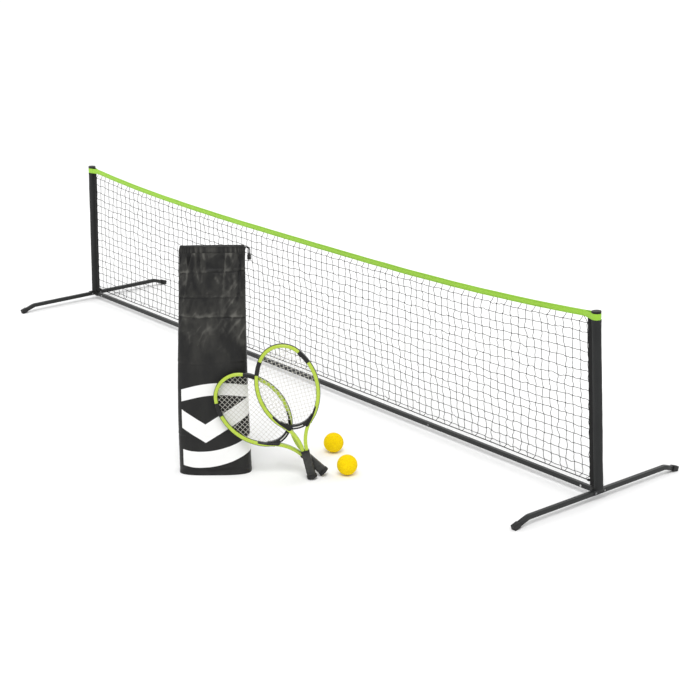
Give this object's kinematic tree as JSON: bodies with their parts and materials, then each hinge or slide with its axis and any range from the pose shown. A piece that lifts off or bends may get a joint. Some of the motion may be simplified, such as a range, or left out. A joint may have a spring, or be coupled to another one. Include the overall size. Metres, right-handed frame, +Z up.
{
  "type": "portable mini tennis net set",
  "caption": "Free-standing low tennis net on a push-button steel stand, with a drawcord bag, junior rackets and foam balls",
  "frame": {"origin": "on the floor under the middle of the net", "axes": "+X along the net, +Y to the back, +Z up; the bag, rackets and balls stand on the -Y side"},
  "size_m": [3.0808, 1.2449, 0.7509],
  "materials": {
    "powder_coat": "satin powder coat",
    "bracket_coat": "satin powder coat",
    "end_cap": "moulded",
    "connector_steel": "zinc plated",
    "rivet_steel": "zinc plated",
    "spring_steel": "bright",
    "sleeve_fabric": "woven polyester",
    "net_cord": "knotted polyethylene twine",
    "tape_webbing": "woven webbing",
    "bag_nylon": "thin coated nylon",
    "drawcord": "braided",
    "lock_plastic": "moulded",
    "racket_lacquer": "gloss lacquer on aluminium",
    "racket_plastic": "moulded",
    "racket_string": "nylon monofilament",
    "handle_core": "foamed plastic",
    "grip_wrap": "perforated synthetic wrap",
    "collar_rubber": "moulded",
    "foam": "open-cell foam"
  },
  "bodies": {
    "stand": {"left_base_bar": "powder_coat", "right_base_bar": "powder_coat", "left_end_caps": "end_cap", "right_end_caps": "end_cap", "left_bracket": "bracket_coat", "right_bracket": "bracket_coat", "bracket_rivets": "rivet_steel", "crossbar_1": "powder_coat", "crossbar_2": "powder_coat", "crossbar_3": "powder_coat", "crossbar_4": "powder_coat", "connector_1": "connector_steel", "connector_2": "connector_steel", "connector_3": "connector_steel", "connector_rivets": "rivet_steel", "button_spring_legs": "spring_steel", "left_post": "powder_coat", "right_post": "powder_coat", "left_post_cap": "end_cap", "right_post_cap": "end_cap", "left_sleeve": "sleeve_fabric", "right_sleeve": "sleeve_fabric", "net_mesh": "net_cord", "top_tape": "tape_webbing", "bottom_rope": "net_cord", "corner_ties": "net_cord"},
    "button_1": {"snap_button_1": "spring_steel"},
    "button_2": {"snap_button_2": "spring_steel"},
    "button_3": {"snap_button_3": "spring_steel"},
    "button_4": {"snap_button_4": "spring_steel"},
    "button_5": {"snap_button_5": "spring_steel"},
    "bag": {"bag_body": "bag_nylon", "bag_hem": "bag_nylon", "drawcord_front": "drawcord", "drawcord_rear": "drawcord", "drawcord_knot": "drawcord", "cord_lock_barrel": "lock_plastic", "cord_lock_spring": "spring_steel"},
    "lock_plunger": {"cord_lock_plunger": "lock_plastic"},
    "rear_racket": {"rear_racket_frame": "racket_lacquer", "rear_racket_yoke": "racket_plastic", "rear_racket_bands": "racket_plastic", "rear_racket_strings": "racket_string", "rear_racket_core": "handle_core", "rear_racket_grip": "grip_wrap", "rear_racket_collar": "collar_rubber", "rear_racket_butt": "racket_plastic"},
    "front_racket": {"front_racket_frame": "racket_lacquer", "front_racket_yoke": "racket_plastic", "front_racket_bands": "racket_plastic", "front_racket_strings": "racket_string", "front_racket_core": "handle_core", "front_racket_grip": "grip_wrap", "front_racket_collar": "collar_rubber", "front_racket_butt": "racket_plastic"},
    "first_ball": {"ball_1": "foam"},
    "second_ball": {"ball_2": "foam"}
  },
  "joints": [
    {"name": "snap_button_1_press", "type": "slide", "parent": "stand", "child": "button_1", "axis": [0, 1, 0], "range_m": [0, 0.0042], "stiffness_N_per_m": 1200, "springref_m": -0.002},
    {"name": "snap_button_2_press", "type": "slide", "parent": "stand", "child": "button_2", "axis": [0, -1, 0], "range_m": [0, 0.0042], "stiffness_N_per_m": 1200, "springref_m": -0.002},
    {"name": "snap_button_3_press", "type": "slide", "parent": "stand", "child": "button_3", "axis": [0, -1, 0], "range_m": [0, 0.0042], "stiffness_N_per_m": 1200, "springref_m": -0.002},
    {"name": "snap_button_4_press", "type": "slide", "parent": "stand", "child": "button_4", "axis": [0, -1, 0], "range_m": [0, 0.0042], "stiffness_N_per_m": 1200, "springref_m": -0.002},
    {"name": "snap_button_5_press", "type": "slide", "parent": "stand", "child": "button_5", "axis": [0, 1, 0], "range_m": [0, 0.0042], "stiffness_N_per_m": 1200, "springref_m": -0.002},
    {"name": "bag_lift", "type": "slide", "parent": "stand", "child": "bag", "axis": [-0.0812, 0.0658, 0.9945], "range_m": [0, 0.5]},
    {"name": "cord_lock_press", "type": "slide", "parent": "bag", "child": "lock_plunger", "axis": [0, 0, -1], "range_m": [0, 0.0029], "stiffness_N_per_m": 800, "springref_m": -0.003, "deforming": ["cord_lock_spring"]},
    {"name": "rear_racket_lift", "type": "slide", "parent": "stand", "child": "rear_racket", "axis": [0.1441, 0.3336, 0.9316], "range_m": [0, 0.45]},
    {"name": "front_racket_lift", "type": "slide", "parent": "stand", "child": "front_racket", "axis": [0.7729, -0.6259, 0.1045], "range_m": [0, 0.3]},
    {"name": "first_ball_lift", "type": "slide", "parent": "stand", "child": "first_ball", "axis": [0, 0, 1], "range_m": [0, 0.3]},
    {"name": "second_ball_lift", "type": "slide", "parent": "stand", "child": "second_ball", "axis": [0, 0, 1], "range_m": [0, 0.3]}
  ]
}
